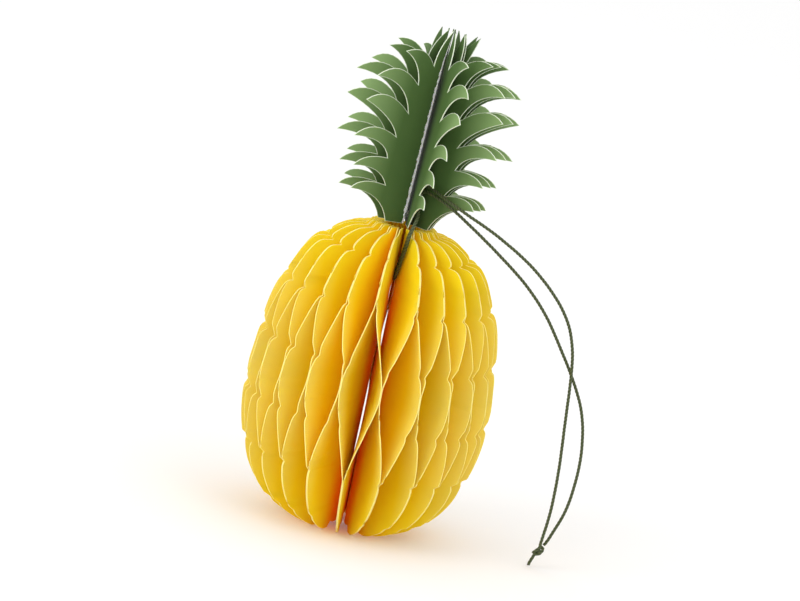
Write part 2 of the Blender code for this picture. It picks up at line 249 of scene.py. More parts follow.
@dataclass(frozen=True)
class CardFinish:
    """Dyed card of about 250 g/m2, calendered: matt with a faint sheen, paler where it is cut.

    The fibres are felted, so the surface is a fine cloud and not a grain, and some light comes
    through, which makes the depths between leaves glow.
    """

    name: str
    face: str
    cloud: str
    # painted light and sheen: the paler colour towards a leaf's outer reach, where it lies less in shade
    rim: str
    rim_mm: tuple[float, float]
    # painted shade along a spine that is not torn, below the leaf's top; deep orange on yellow card for the
    # glow of its depths
    painted_spine_shade: str
    painted_spine_shade_mm: float
    cut_edge: str
    roughness: float
    sheen_level: float
    bleed: float
    bleed_radius_mm: tuple[float, float, float]
    cloud_mm: float = 7.0
    fibre_mm: float = 0.35
    fibre_height_mm: float = 0.008
    leaf_shade: float = 0.05
    folded_mm: float = 0.4  # along the spine the card is folded, and keeps its dye
    torn_mm: float = 1.4  # the furthest that the fibres of a torn spine show on the face
    torn_step_mm: float = 1.4  # length of one tatter along the spine
    torn_fibre: str = "#FFFFFF"

    def build(self) -> bpy.types.Material:
        """Makes the material.

        Returns:
            A material that reads the attributes from_spine in metres, sheltered (0 at a leaf's top),
            cut_edge, margin (1 at the cut edge), leaf_shade and torn: 1 on a leaf whose dyed face is
            torn along its spine, where the others get a painted shade.
        """
        made, tree, shader = new_material(self.name)
        place = add_node(tree, "ShaderNodeTexCoord").outputs["Object"]
        read = {
            name: add_node(tree, "ShaderNodeAttribute", attribute_name=name).outputs["Fac"]
            for name in ("from_spine", "sheltered", "torn", "cut_edge", "margin", "leaf_shade")
        }

        # The dye: a soft cloud, paler towards the rim as painted light and sheen, and darker along a
        # spine that is not torn, below the leaf's top, as painted shade (on the yellow card a deep orange).
        cloud = add_node(tree, "ShaderNodeTexNoise", {
            "Vector": place, "Scale": 1 / (self.cloud_mm * MM), "Detail": 4.0, "Roughness": 0.6,
        })
        # painted light: the share of the paler rim colour, rising towards the outer reach
        outer = add_node(tree, "ShaderNodeMapRange", {
            "Value": read["from_spine"], "From Min": self.rim_mm[0] * MM, "From Max": self.rim_mm[1] * MM,
        })
        # painted shade: darker along a spine that is not torn, below the leaf's top
        tear = add_node(tree, "ShaderNodeMath", {
            0: read["sheltered"], 1: read["torn"],
        }, operation="MULTIPLY")
        spine_shade_share = add_node(tree, "ShaderNodeMath", {0: read["sheltered"], 1: tear}, operation="SUBTRACT")
        inner = add_node(tree, "ShaderNodeMapRange", {
            "Value": read["from_spine"], "From Max": self.painted_spine_shade_mm * MM, "To Min": spine_shade_share, "To Max": 0.0,
        }, interpolation_type="SMOOTHSTEP")
        colour = linear(self.face)
        for share, over in ((cloud.outputs["Fac"], self.cloud), (outer, self.rim), (inner, self.painted_spine_shade)):
            colour = add_node(tree, "ShaderNodeMix", {
                0: share, 6: colour, 7: linear(over),
            }, data_type="RGBA").outputs[2]
        value = add_node(tree, "ShaderNodeMapRange", {
            "Value": read["leaf_shade"], "To Min": 1 - self.leaf_shade, "To Max": 1 + self.leaf_shade,
        })
        colour = add_node(tree, "ShaderNodeHueSaturation", {"Value": value, "Color": colour})

        # The undyed card: its cut edges with their worn margin, and the fibres of a torn spine.
        off_spine = add_node(tree, "ShaderNodeMapRange", {
            "Value": read["from_spine"], "From Max": self.folded_mm * MM,
        })
        undyed = add_node(tree, "ShaderNodeMath", {
            0: read["cut_edge"], 1: read["margin"],
        }, operation="MAXIMUM")
        cut = add_node(tree, "ShaderNodeMath", {0: undyed, 1: off_spine}, operation="MULTIPLY")
        ragged = add_node(tree, "ShaderNodeTexNoise", {
            "Vector": place, "Scale": 1 / (self.torn_step_mm * MM), "Detail": 2.0,
        })
        depth = add_node(tree, "ShaderNodeMath", {
            0: ragged.outputs["Fac"], 1: self.torn_mm * MM,
        }, operation="MULTIPLY")
        narrowed = add_node(tree, "ShaderNodeMath", {0: depth, 1: read["sheltered"]}, operation="MULTIPLY")
        reached = add_node(tree, "ShaderNodeMath", {
            0: read["from_spine"], 1: narrowed,
        }, operation="LESS_THAN")
        bare = add_node(tree, "ShaderNodeMath", {0: reached, 1: read["torn"]}, operation="MULTIPLY")
        for share, over in ((cut, self.cut_edge), (bare, self.torn_fibre)):
            colour = add_node(tree, "ShaderNodeMix", {
                0: share, 6: colour, 7: linear(over),
            }, data_type="RGBA").outputs[2]

        fibre = add_node(tree, "ShaderNodeTexNoise", {
            "Vector": place, "Scale": 1 / (self.fibre_mm * MM), "Detail": 3.0, "Roughness": 0.7,
        })
        bump = add_node(tree, "ShaderNodeBump", {
            "Height": fibre.outputs["Fac"], "Strength": 1.0, "Distance": self.fibre_height_mm * MM,
        })
        feed(tree, shader, {
            "Base Color": colour, "Normal": bump, "Roughness": self.roughness,
            "Specular IOR Level": self.sheen_level, "Subsurface Weight": self.bleed,
            "Subsurface Radius": self.bleed_radius_mm, "Subsurface Scale": MM,
        })
        return made


@dataclass(frozen=True)
class CordFinish:
    """Waxed cotton cord: dyed plies with a soft gleam of wax, painted shade in the grooves between them and
    a painted highlight on their crests.
    """

    name: str = "waxed twisted cotton"
    # painted light and shade: the crest colour on the outside of each ply, the dark groove colour between
    # plies
    crest: str = "#6C7A46"
    groove: str = "#20290F"
    roughness: float = 0.5
    yarn_mm: float = 0.12
    yarn_height_mm: float = 0.03

    def build(self) -> bpy.types.Material:
        """Makes the material.

        Returns:
            A material that reads the attribute crest: 1 on the outside of a ply, 0 in a groove.
        """
        made, tree, shader = new_material(self.name)
        place = add_node(tree, "ShaderNodeTexCoord").outputs["Object"]
        yarn = add_node(tree, "ShaderNodeTexNoise", {
            "Vector": place, "Scale": 1 / (self.yarn_mm * MM), "Detail": 2.0,
        })
        crest = add_node(tree, "ShaderNodeAttribute", attribute_name="crest")
        share = add_node(tree, "ShaderNodeMath", {
            0: crest.outputs["Fac"], 1: yarn.outputs["Fac"],
        }, operation="MULTIPLY", use_clamp=True)
        # painted shade in the grooves between plies, painted highlight on their crests
        colour = add_node(tree, "ShaderNodeMix", {
            0: share, 6: linear(self.groove), 7: linear(self.crest),
        }, data_type="RGBA")
        bump = add_node(tree, "ShaderNodeBump", {
            "Height": yarn.outputs["Fac"], "Strength": 1.0, "Distance": self.yarn_height_mm * MM,
        })
        feed(tree, shader, {"Base Color": colour.outputs[2], "Normal": bump, "Roughness": self.roughness})
        return made


@dataclass
class CardStock:
    """What both fans have in common: the card, how finely it bends, and the tree that thickens it."""

    card: float
    weld: float = 1e-6
    level_snap: float = 1e-7  # a point this near to a level counts as on it
    level_step_mm: float = 1.6
    margin_mm: float = 0.0  # width of the worn margin inside the cut edge
    bare_top: float = 0.3  # share of a leaf's height, at its top, where its spine comes into the light

    def flat_leaf(self, name: str, outline: Outline) -> bpy.types.Object:
        """Makes a flat leaf in the XZ plane, cut at even levels so that it can bend.

        Args:
            name: The template's name.
            outline: Its closed outline as (radius, height) in millimetres.

        Returns:
            The template, to be removed once it has been used.
        """
        spine = min(radius for radius, height in outline)
        top = max(height for radius, height in outline)
        sheet = bmesh.new()
        sheet.faces.new([sheet.verts.new((radius * MM, 0.0, height * MM)) for radius, height in outline])
        if self.margin_mm:
            sheet.normal_update()
            bmesh.ops.inset_region(
                sheet, faces=sheet.faces[:], thickness=self.margin_mm * MM, use_boundary=True,
                use_even_offset=True,
            )
        for level in range(1, int(top / self.level_step_mm)):
            bmesh.ops.bisect_plane(
                sheet,
                geom=[*sheet.verts, *sheet.edges, *sheet.faces],
                dist=self.level_snap,
                plane_co=(0.0, 0.0, level * self.level_step_mm * MM),
                plane_no=(0.0, 0.0, 1.0),
            )
        bmesh.ops.triangulate(sheet, faces=sheet.faces[:])
        rim = [float(vertex.is_boundary and self.margin_mm > 0) for vertex in sheet.verts]
        mesh = bpy.data.meshes.new(name)
        sheet.to_mesh(mesh)
        sheet.free()
        spots = [vertex.co for vertex in mesh.vertices]
        for label, values in {
            "margin": rim,
            "from_spine": [spot.x - spine * MM for spot in spots],
            "sheltered": [min(1.0, (1 - spot.z / (top * MM)) / self.bare_top) for spot in spots],
        }.items():
            mesh.attributes.new(label, "FLOAT", "POINT").data.foreach_set("value", values)
        return link(name, mesh)

    def thicken(self) -> bpy.types.NodeTree:
        """Builds the group that gives a bent sheet the card's thickness and marks its cut edge.

        Returns:
            A node group with the inputs Sheet, Card and Weld.
        """
        tree, get, result = new_tree("card thickness", {
            "Sheet": "NodeSocketGeometry", **inputs_from(self, ("card", "weld")),
        })
        normal = add_node(tree, "GeometryNodeInputNormal")
        half = add_node(tree, "ShaderNodeMath", {0: get["Card"], 1: -0.5}, operation="MULTIPLY")
        back = add_node(tree, "ShaderNodeVectorMath", {0: normal, "Scale": half}, operation="SCALE")
        inner = add_node(tree, "GeometryNodeSetPosition", {"Geometry": get["Sheet"], "Offset": back})
        outer = add_node(tree, "GeometryNodeExtrudeMesh", {
            "Mesh": inner, "Offset Scale": get["Card"], "Individual": False,
        })
        marked = add_node(tree, "GeometryNodeStoreNamedAttribute", {
            "Geometry": outer.outputs["Mesh"], "Selection": outer.outputs["Side"], "Name": "cut_edge",
            "Value": 1.0,
        }, domain="FACE", data_type="FLOAT")
        flipped = add_node(tree, "GeometryNodeFlipFaces", {0: inner})
        joined = add_node(tree, "GeometryNodeJoinGeometry")
        feed(tree, joined, {0: flipped})
        feed(tree, joined, {0: marked})
        closed = add_node(tree, "GeometryNodeMergeByDistance", {
            "Geometry": joined, "Distance": get["Weld"],
        })
        feed(tree, result, {0: closed})
        return tree


@dataclass
class HoneycombBody:
    """The yellow fan: pairs of leaves glued above and below, and to their other neighbours between."""

    # The fields that the tree takes: those that spread the pairs round the core, and the others.
    SPREAD: ClassVar[tuple[str, ...]] = (
        "pairs_a_side", "first_right", "last_right", "ease_right", "closing_right",
        "first_left", "last_left", "ease_left", "closing_left",
    )
    SIZES: ClassVar[tuple[str, ...]] = (
        "height", "core", "loose_film", "topmost_film", "topmost", "pressed_film", "pressed_radius",
        "upper_joint", "band_top", "band_bottom", "lower_joint", "joint_spread", "swing_ease", "seed",
    )
    stock: CardStock
    finish: CardFinish
    pairs_a_side: int = 11
    first_right: float = math.radians(18.0)
    last_right: float = math.radians(175.0)
    first_left: float = math.radians(-6.5)
    last_left: float = math.radians(-169.0)
    ease_right: float = 1.008
    ease_left: float = 1.032
    closing_right: float = math.radians(-3.3)  # the seam's own pairs close up towards the ground
    closing_left: float = math.radians(4.5)
    core: float = 5.33 * MM
    loose_film: float = 0.42 * MM  # between two glued leaves at the core, where they part a little
    topmost_film: float = 0.98 * MM  # at the top they part until they meet the next pair
    topmost: float = 80.0 * MM
    pressed_film: float = 0.02 * MM  # and beyond the pressed radius
    pressed_radius: float = 14.0 * MM
    height: float = 91.2 * MM
    upper_joint: float = 72.4 * MM
    band_top: float = 49.5 * MM
    band_bottom: float = 45.0 * MM
    lower_joint: float = 20.2 * MM
    swing_ease: float = 0.35
    joint_spread: float = 0.7 * MM  # glue dots land this far above or below their marks
    seed: int = 7
    steps: int = 4
    # Cut outline as (radius, height) in millimetres, lobe by lobe from the top, between the spine's ends.
    spine_top: float = 91.0
    spine_bottom: float = 1.4
    lobes: tuple = (
        ((9.6, 91.2),),
        ((11.0, 89.6), (15.2, 89.0), (18.4, 87.4), (20.6, 85.6), (21.0, 84.4)),
        ((20.4, 83.7), (24.2, 83.1), (27.2, 79.6), (29.6, 74.6), (30.5, 72.2)),
        ((30.0, 70.3), (31.8, 69.3), (33.3, 65.6), (34.4, 60.4), (34.8, 57.3)),
        ((33.6, 54.1), (35.2, 52.4), (35.9, 47.4), (36.4, 42.4), (36.3, 39.2)),
        ((35.2, 36.3), (36.3, 34.5), (35.9, 29.4), (34.9, 24.4), (34.1, 21.8)),
        ((32.4, 20.6), (32.6, 18.6), (31.2, 14.2), (28.6, 9.8), (25.6, 6.3)),
        ((23.4, 5.2), (21.6, 3.5), (17.2, 1.2), (13.6, 0.0), (11.0, 0.0)),
        ((9.4, 1.7), (7.6, 1.2)),
    )

    def outline(self) -> Outline:
        """The leaf's closed outline, each lobe smooth and the notches between them sharp."""
        spine = self.core / MM
        points = [(spine, self.spine_top)]
        for lobe in self.lobes:
            flat = [Vector(point) for point in lobe]
            points += [tuple(p) for p in (smooth_through(flat, self.steps) if len(flat) > 2 else flat)]
        points.append((spine, self.spine_bottom))
        return points

    def pair_azimuth_group(self) -> bpy.types.NodeTree:
        """Builds the group that gives a pair's azimuth by its number, counted from the front seam.

        Returns:
            A node group with the input Pair, which may run past either end of the full turn, and the
            outputs Azimuth, at the body's top, and Closing, what the ground adds to it.
        """
        tree, get, result = new_tree("pair azimuth", {
            "Pair": 0.0, **inputs_from(self, self.SPREAD),
        }, {"Azimuth": 0.0, "Closing": 0.0})
        side = get["Pairs a side"]
        count = add_node(tree, "ShaderNodeMath", {0: side, 1: 2.0}, operation="MULTIPLY")
        steps = add_node(tree, "ShaderNodeMath", {0: side, 1: 1.0}, operation="SUBTRACT")
        share = add_node(tree, "ShaderNodeMath", {0: get["Pair"], 1: count}, operation="DIVIDE")
        turns = add_node(tree, "ShaderNodeMath", {0: share}, operation="FLOOR")
        passed = add_node(tree, "ShaderNodeMath", {0: turns, 1: count}, operation="MULTIPLY")
        pair = add_node(tree, "ShaderNodeMath", {0: get["Pair"], 1: passed}, operation="SUBTRACT")
        last = add_node(tree, "ShaderNodeMath", {0: count, 1: 1.0}, operation="SUBTRACT")
        from_seam = add_node(tree, "ShaderNodeMath", {0: last, 1: pair}, operation="SUBTRACT")
        sides, closings = [], []
        for number, hand in ((pair, "right"), (from_seam, "left")):
            even = add_node(tree, "ShaderNodeMapRange", {"Value": number, "From Max": steps})
            eased = add_node(tree, "ShaderNodeMath", {0: even, 1: get[f"Ease {hand}"]}, operation="POWER")
            sides.append(add_node(tree, "ShaderNodeMapRange", {
                "Value": eased, "To Min": get[f"First {hand}"], "To Max": get[f"Last {hand}"],
            }))
            at_seam = add_node(tree, "ShaderNodeMath", {0: number, 1: 0.5}, operation="LESS_THAN")
            closings.append(add_node(tree, "ShaderNodeMath", {
                0: at_seam, 1: get[f"Closing {hand}"],
            }, operation="MULTIPLY"))
        whole = add_node(tree, "ShaderNodeMath", {0: sides[1], 1: math.tau}, operation="ADD")
        on_left = add_node(tree, "ShaderNodeMath", {0: pair, 1: steps}, operation="GREATER_THAN")
        azimuth = add_node(tree, "ShaderNodeMix", {0: on_left, 2: sides[0], 3: whole})
        full = add_node(tree, "ShaderNodeMath", {
            0: turns, 1: math.tau, 2: azimuth,
        }, operation="MULTIPLY_ADD")
        closing = add_node(tree, "ShaderNodeMath", {0: closings[0], 1: closings[1]}, operation="ADD")
        feed(tree, result, {"Azimuth": full, "Closing": closing})
        return tree

    def tree(self, inputs: dict[str, Any]) -> bpy.types.NodeTree:
        """Builds the tree that copies, places, swings and thickens the leaves.

        Args:
            inputs: The leaf, the material and the fan's sizes, by the names of the tree's inputs.

        Returns:
            A tree that takes them.
        """
        tree, get, result = new_tree("honeycomb fan", inputs)

        # Two leaves for each pair: an even one on its low side and an odd one on its high side.
        count = add_node(tree, "ShaderNodeMath", {0: get["Pairs a side"], 1: 4.0}, operation="MULTIPLY")
        spots = add_node(tree, "GeometryNodeMeshLine", {"Count": count, "Offset": (0.0, 0.0, 0.0)})
        index = add_node(tree, "GeometryNodeInputIndex")
        halved = add_node(tree, "ShaderNodeMath", {0: index, 1: 0.5}, operation="MULTIPLY")
        pair = add_node(tree, "ShaderNodeMath", {0: halved}, operation="FLOOR")
        odd = add_node(tree, "ShaderNodeMath", {0: halved}, operation="FRACT")
        side = add_node(tree, "ShaderNodeMath", {0: odd, 1: 4.0, 2: -1.0}, operation="MULTIPLY_ADD")
        neighbour = add_node(tree, "ShaderNodeMath", {0: pair, 1: side}, operation="ADD")
        azimuths = self.pair_azimuth_group()
        spread = {name: get[name] for name in inputs_from(self, self.SPREAD)}
        own, other = (
            add_node(tree, "GeometryNodeGroup", {"Pair": number, **spread}, node_tree=azimuths).outputs
            for number in (pair, neighbour)
        )
        stored = {"side": side}
        for part in ("Azimuth", "Closing"):
            total = add_node(tree, "ShaderNodeMath", {0: own[part], 1: other[part]}, operation="ADD")
            half = add_node(tree, "ShaderNodeMath", {0: total, 1: 0.5}, operation="MULTIPLY")
            stored[f"pair {part}"] = own[part]
            stored[f"contact {part}"] = half

        # The leaves of a pair share their joints' heights, and the two at a contact share its band's.
        pairs = add_node(tree, "ShaderNodeMath", {0: get["Pairs a side"], 1: 2.0}, operation="MULTIPLY")
        after = add_node(tree, "ShaderNodeMath", {0: odd, 1: 2.0, 2: pair}, operation="MULTIPLY_ADD")
        joint = add_node(tree, "ShaderNodeMath", {0: after, 1: pairs}, operation="FLOORED_MODULO")
        minus = add_node(tree, "ShaderNodeMath", {0: get["Joint spread"], 1: -1.0}, operation="MULTIPLY")
        for offset, (name, number) in enumerate((("upper", pair), ("lower", pair), ("band", joint))):
            seed = add_node(tree, "ShaderNodeMath", {0: get["Seed"], 1: float(offset)}, operation="ADD")
            stored[name] = add_node(tree, "FunctionNodeRandomValue", {
                2: minus, 3: get["Joint spread"], "ID": number, "Seed": seed,
            }, data_type="FLOAT").outputs[1]
        stored["leaf_shade"] = add_node(tree, "FunctionNodeRandomValue", {
            "ID": index, "Seed": get["Seed"],
        }, data_type="FLOAT").outputs[1]
        for name, field in stored.items():
            spots = add_node(tree, "GeometryNodeStoreNamedAttribute", {
                "Geometry": spots, "Name": name, "Value": field,
            }, data_type="FLOAT")
        leaf = add_node(tree, "GeometryNodeObjectInfo", {"Object": get["Leaf"]})
        copies = add_node(tree, "GeometryNodeInstanceOnPoints", {
            "Points": spots, "Instance": leaf.outputs["Geometry"],
        })
        flat = add_node(tree, "GeometryNodeRealizeInstances", {0: copies})

        # Where a point of the flat leaf goes: its azimuth swings with height, its radius stays.
        read = {
            name: add_node(tree, "GeometryNodeInputNamedAttribute", {"Name": name}, data_type="FLOAT")
            for name in stored
        }
        at = add_node(tree, "ShaderNodeSeparateXYZ", {0: add_node(tree, "GeometryNodeInputPosition")})
        radius, height = at.outputs[0], at.outputs[2]
        at_core = add_node(tree, "ShaderNodeMapRange", {
            "Value": height, "From Min": get["Upper joint"], "From Max": get["Topmost"],
            "To Min": get["Loose film"], "To Max": get["Topmost film"],
        })
        film = add_node(tree, "ShaderNodeMapRange", {
            "Value": radius, "From Min": get["Core"], "From Max": get["Pressed radius"],
            "To Min": at_core, "To Max": get["Pressed film"],
        })
        both = add_node(tree, "ShaderNodeMath", {0: get["Card"], 1: film}, operation="ADD")
        offset = add_node(tree, "ShaderNodeMath", {0: both, 1: 0.5}, operation="MULTIPLY")
        slope = add_node(tree, "ShaderNodeMath", {0: offset, 1: radius}, operation="DIVIDE")
        angle = add_node(tree, "ShaderNodeMath", {0: slope}, operation="ARCSINE")
        shift = add_node(tree, "ShaderNodeMath", {0: angle, 1: read["side"]}, operation="MULTIPLY")
        low = add_node(tree, "ShaderNodeMapRange", {
            "Value": height, "From Min": get["Height"], "From Max": 0.0,
        })
        ways = [
            add_node(tree, "ShaderNodeMath", {
                0: read[f"{place} Closing"], 1: low, 2: read[f"{place} Azimuth"],
            }, operation="MULTIPLY_ADD")
            for place in ("pair", "contact")
        ]
        glued = add_node(tree, "ShaderNodeMath", {0: ways[0], 1: shift}, operation="ADD")
        swung = add_node(tree, "ShaderNodeMath", {0: ways[1], 1: shift}, operation="SUBTRACT")
        shares = []
        for start, end, wander in (
            ("Upper joint", "Band top", "upper"), ("Lower joint", "Band bottom", "lower"),
        ):
            starts = add_node(tree, "ShaderNodeMath", {0: get[start], 1: read[wander]}, operation="ADD")
            stops = add_node(tree, "ShaderNodeMath", {0: get[end], 1: read["band"]}, operation="ADD")
            shares.append(add_node(tree, "ShaderNodeMapRange", {
                "Value": height, "From Min": starts, "From Max": stops,
            }))
        even = add_node(tree, "ShaderNodeMath", {0: shares[0], 1: shares[1]}, operation="MINIMUM")
        soft = add_node(tree, "ShaderNodeMapRange", {"Value": even}, interpolation_type="SMOOTHSTEP")
        swing = add_node(tree, "ShaderNodeMix", {0: get["Swing ease"], 2: even, 3: soft})
        azimuth = add_node(tree, "ShaderNodeMix", {0: swing, 2: glued, 3: swung})
        sine = add_node(tree, "ShaderNodeMath", {0: azimuth}, operation="SINE")
        cosine = add_node(tree, "ShaderNodeMath", {0: azimuth}, operation="COSINE")
        back = add_node(tree, "ShaderNodeMath", {0: radius, 1: -1.0}, operation="MULTIPLY")
        x = add_node(tree, "ShaderNodeMath", {0: sine, 1: radius}, operation="MULTIPLY")
        y = add_node(tree, "ShaderNodeMath", {0: cosine, 1: back}, operation="MULTIPLY")
        spot = add_node(tree, "ShaderNodeCombineXYZ", {0: x, 1: y, 2: height})
        bent = add_node(tree, "GeometryNodeSetPosition", {"Geometry": flat, "Position": spot})

        card = add_node(tree, "GeometryNodeGroup", {
            "Sheet": bent, "Card": get["Card"], "Weld": get["Weld"],
        }, node_tree=self.stock.thicken())
        done = add_node(tree, "GeometryNodeSetMaterial", {"Geometry": card, "Material": get["Material"]})
        feed(tree, result, {0: done})
        return tree

    def build(self, nodes: list[str]) -> bpy.types.Object:
        """Makes the whole fan as one piece in place of its solids.

        Args:
            nodes: The solids that it stands for.

        Returns:
            The finished fan.
        """
        leaf = self.stock.flat_leaf("body leaf template", self.outline())
        host = link("body host", bpy.data.meshes.new("body host"))
        inputs = {
            "Leaf": leaf, "Material": self.finish.build(), **inputs_from(self.stock, ("card", "weld")),
            **inputs_from(self, self.SPREAD + self.SIZES),
        }
        piece = grow("honeycomb_body", host, self.tree(inputs), inputs)
        bpy.data.objects.remove(leaf)
        stand_in(piece, Slot.YELLOW, *nodes)
        return piece


@dataclass
class Crown:
    """The green fan on the body's top: leaves with curved side tips, turning as they rise."""

    # The fields that the tree takes.
    SIZES: ClassVar[tuple[str, ...]] = (
        "core", "height", "flare_start", "droop_start", "tear", "tear_step", "seed",
    )
    stock: CardStock
    finish: CardFinish
    lean: float = math.radians(2.0)
    seat: float = 91.79 * MM
    core: float = 2.2 * MM
    height: float = 58.3 * MM
    flare_start: float = 44.0 * MM
    droop_start: float = 12.0 * MM
    tear: float = 0.35 * MM
    tear_step: float = 1.3 * MM
    seed: int = 3
    tip_steps: int = 8
    hole_steps: int = 12
    # The cut outline in millimetres: its base, the thread hole in its spine, and its top's bend.
    base_radius: float = 8.2
    hole_height: float = 2.7
    hole_radius: float = 0.6
    top_bend: tuple = (5.9, 53.5)
    # Side tips from the top down, as (radius, height) in millimetres above the crown's base: the
    # notch above the tip, the crest that bends its upper edge, the tip, and the bend below it.
    tips: tuple = (
        ((5.4, 47.5), (10.5, 54.3), (17.9, 52.0), (10.6, 48.8)),
        ((9.3, 41.8), (18.5, 50.2), (25.4, 44.5), (13.4, 43.2)),
        ((10.1, 33.2), (20.0, 42.0), (26.4, 37.1), (14.8, 31.8)),
        ((12.1, 26.0), (21.5, 31.6), (26.7, 26.1), (15.2, 25.6)),
        ((13.0, 19.5), (21.0, 20.9), (23.8, 17.0), (14.2, 17.2)),
        ((11.2, 11.2), (20.0, 13.9), (22.3, 9.6), (11.2, 8.6)),
    )
    # Each leaf's azimuth in degrees at the spine, the base and the top, its top's lean in
    # millimetres, and how far a point of it droops as a share of its reach. The last one's spine is
    # torn, where the fan was opened.
    leaves: tuple = (
        (13.0, 8.5, 26.0, 1.6, 0.06),
        (52.0, 60.0, 46.0, 3.0, -0.02),
        (67.0, 71.0, 58.0, 2.6, -0.02),
        (84.0, 88.0, 66.0, 7.0, 0.01),
        (108.0, 112.0, 112.0, 6.0, 0.1),
        (134.0, 140.0, 140.0, 0.6, 0.13),
        (156.0, 162.0, 160.0, 0.0, 0.13),
        (170.0, 187.0, 187.0, 0.0, 0.12),
        (206.0, 210.0, 202.0, 0.0, 0.12),
        (242.0, 252.0, 230.0, 1.4, 0.08),
        (288.0, 286.0, 288.0, -1.4, 0.11),
        (352.0, 298.0, 315.5, -1.4, 0.08),
    )

    def outline(self) -> Outline:
        """The leaf's closed outline, from the top of its spine past the tips to the thread hole."""
        spine = self.core / MM
        points = [(spine, self.height / MM)]
        here, control = points[0], self.top_bend
        for notch, crest, tip, belly in self.tips:
            points += self.bend(here, control, notch) + self.bend(notch, crest, tip)
            here, control = tip, belly
        points += self.bend(here, control, (self.base_radius, 0.0))
        points.append((spine, 0.0))
        for step in range(self.hole_steps + 1):
            turn = math.pi * step / self.hole_steps
            points.append((
                spine + self.hole_radius * math.sin(turn),
                self.hole_height - self.hole_radius * math.cos(turn),
            ))
        return points

    def bend(self, start: tuple, control: tuple, end: tuple) -> Outline:
        """Points of a quadratic curve after its start, up to and with its end."""
        shares = [step / self.tip_steps for step in range(1, self.tip_steps + 1)]
        return [
            tuple(
                (1 - t) ** 2 * a + 2 * t * (1 - t) * b + t ** 2 * c
                for a, b, c in zip(start, control, end)
            )
            for t in shares
        ]

    def spots(self) -> bpy.types.Object:
        """Makes the host: one point for each leaf, with its azimuths, lean and droop as attributes."""
        mesh = bpy.data.meshes.new("crown host")
        mesh.from_pydata([(0.0, 0.0, 0.0)] * len(self.leaves), [], [])
        degree = math.radians(1.0)
        units = {"spine": degree, "base": degree, "top": degree, "flare": MM, "droop": 1.0}
        for column, (name, unit) in enumerate(units.items()):
            values = mesh.attributes.new(name, "FLOAT", "POINT")
            values.data.foreach_set("value", [leaf[column] * unit for leaf in self.leaves])
        torn = mesh.attributes.new("torn", "FLOAT", "POINT")
        torn.data[-1].value = 1.0
        return link("crown host", mesh)

    def tree(self, inputs: dict[str, Any]) -> bpy.types.NodeTree:
        """Builds the tree that copies, turns, leans and thickens the leaves.

        Args:
            inputs: The leaf, the material and the crown's sizes, by the names of the tree's inputs.

        Returns:
            A tree that takes them, and the host's points as Spots.
        """
        tree, get, result = new_tree("crown fan", {"Spots": "NodeSocketGeometry", **inputs})
        index = add_node(tree, "GeometryNodeInputIndex")
        shade = add_node(tree, "FunctionNodeRandomValue", {
            "ID": index, "Seed": get["Seed"],
        }, data_type="FLOAT").outputs[1]
        spots = add_node(tree, "GeometryNodeStoreNamedAttribute", {
            "Geometry": get["Spots"], "Name": "leaf_shade", "Value": shade,
        }, data_type="FLOAT")
        leaf = add_node(tree, "GeometryNodeObjectInfo", {"Object": get["Leaf"]})
        copies = add_node(tree, "GeometryNodeInstanceOnPoints", {
            "Points": spots, "Instance": leaf.outputs["Geometry"],
        })
        flat = add_node(tree, "GeometryNodeRealizeInstances", {0: copies})
        read = {
            name: add_node(tree, "GeometryNodeInputNamedAttribute", {"Name": name}, data_type="FLOAT")
            for name in ("spine", "base", "top", "flare", "droop", "torn")
        }
        at = add_node(tree, "ShaderNodeSeparateXYZ", {0: add_node(tree, "GeometryNodeInputPosition")})
        radius, height = at.outputs[0], at.outputs[2]
        azimuth = add_node(tree, "ShaderNodeMapRange", {
            "Value": height, "From Max": get["Height"], "To Min": read["base"], "To Max": read["top"],
        })
        rise = add_node(tree, "ShaderNodeMapRange", {
            "Value": height, "From Min": get["Flare start"], "From Max": get["Height"],
        })
        squared = add_node(tree, "ShaderNodeMath", {0: rise, 1: 2.0}, operation="POWER")
        flare = add_node(tree, "ShaderNodeMath", {0: squared, 1: read["flare"]}, operation="MULTIPLY")
        beyond = add_node(tree, "ShaderNodeMath", {0: radius, 1: get["Core"]}, operation="SUBTRACT")

        # Only the spine's own points are ragged: the rest of the leaf keeps its cut outline.
        along = add_node(tree, "ShaderNodeMath", {0: height, 1: get["Tear step"]}, operation="DIVIDE")
        wave = add_node(tree, "ShaderNodeTexNoise", {
            "W": along, "Scale": 1.0, "Detail": 2.0,
        }, noise_dimensions="1D")
        swerve = add_node(tree, "ShaderNodeMath", {0: wave.outputs["Fac"], 1: 0.5}, operation="SUBTRACT")
        on_spine = add_node(tree, "ShaderNodeMath", {0: beyond, 1: get["Weld"]}, operation="LESS_THAN")
        ragged = add_node(tree, "ShaderNodeMath", {0: on_spine, 1: read["torn"]}, operation="MULTIPLY")
        deep = add_node(tree, "ShaderNodeMath", {0: ragged, 1: get["Tear"]}, operation="MULTIPLY")
        tear = add_node(tree, "ShaderNodeMath", {0: swerve, 1: deep, 2: flare}, operation="MULTIPLY_ADD")
        reach = add_node(tree, "ShaderNodeMath", {0: beyond, 1: tear}, operation="ADD")
        ends = []
        for turn, length in ((read["spine"], get["Core"]), (azimuth, reach)):
            sine = add_node(tree, "ShaderNodeMath", {0: turn}, operation="SINE")
            cosine = add_node(tree, "ShaderNodeMath", {0: turn}, operation="COSINE")
            minus = add_node(tree, "ShaderNodeMath", {0: cosine, 1: -1.0}, operation="MULTIPLY")
            way = add_node(tree, "ShaderNodeCombineXYZ", {0: sine, 1: minus})
            ends.append(add_node(tree, "ShaderNodeVectorMath", {
                0: way, "Scale": length,
            }, operation="SCALE"))
        level = add_node(tree, "ShaderNodeVectorMath", {0: ends[0], 1: ends[1]}, operation="ADD")
        begun = add_node(tree, "ShaderNodeMapRange", {"Value": height, "From Max": get["Droop start"]})
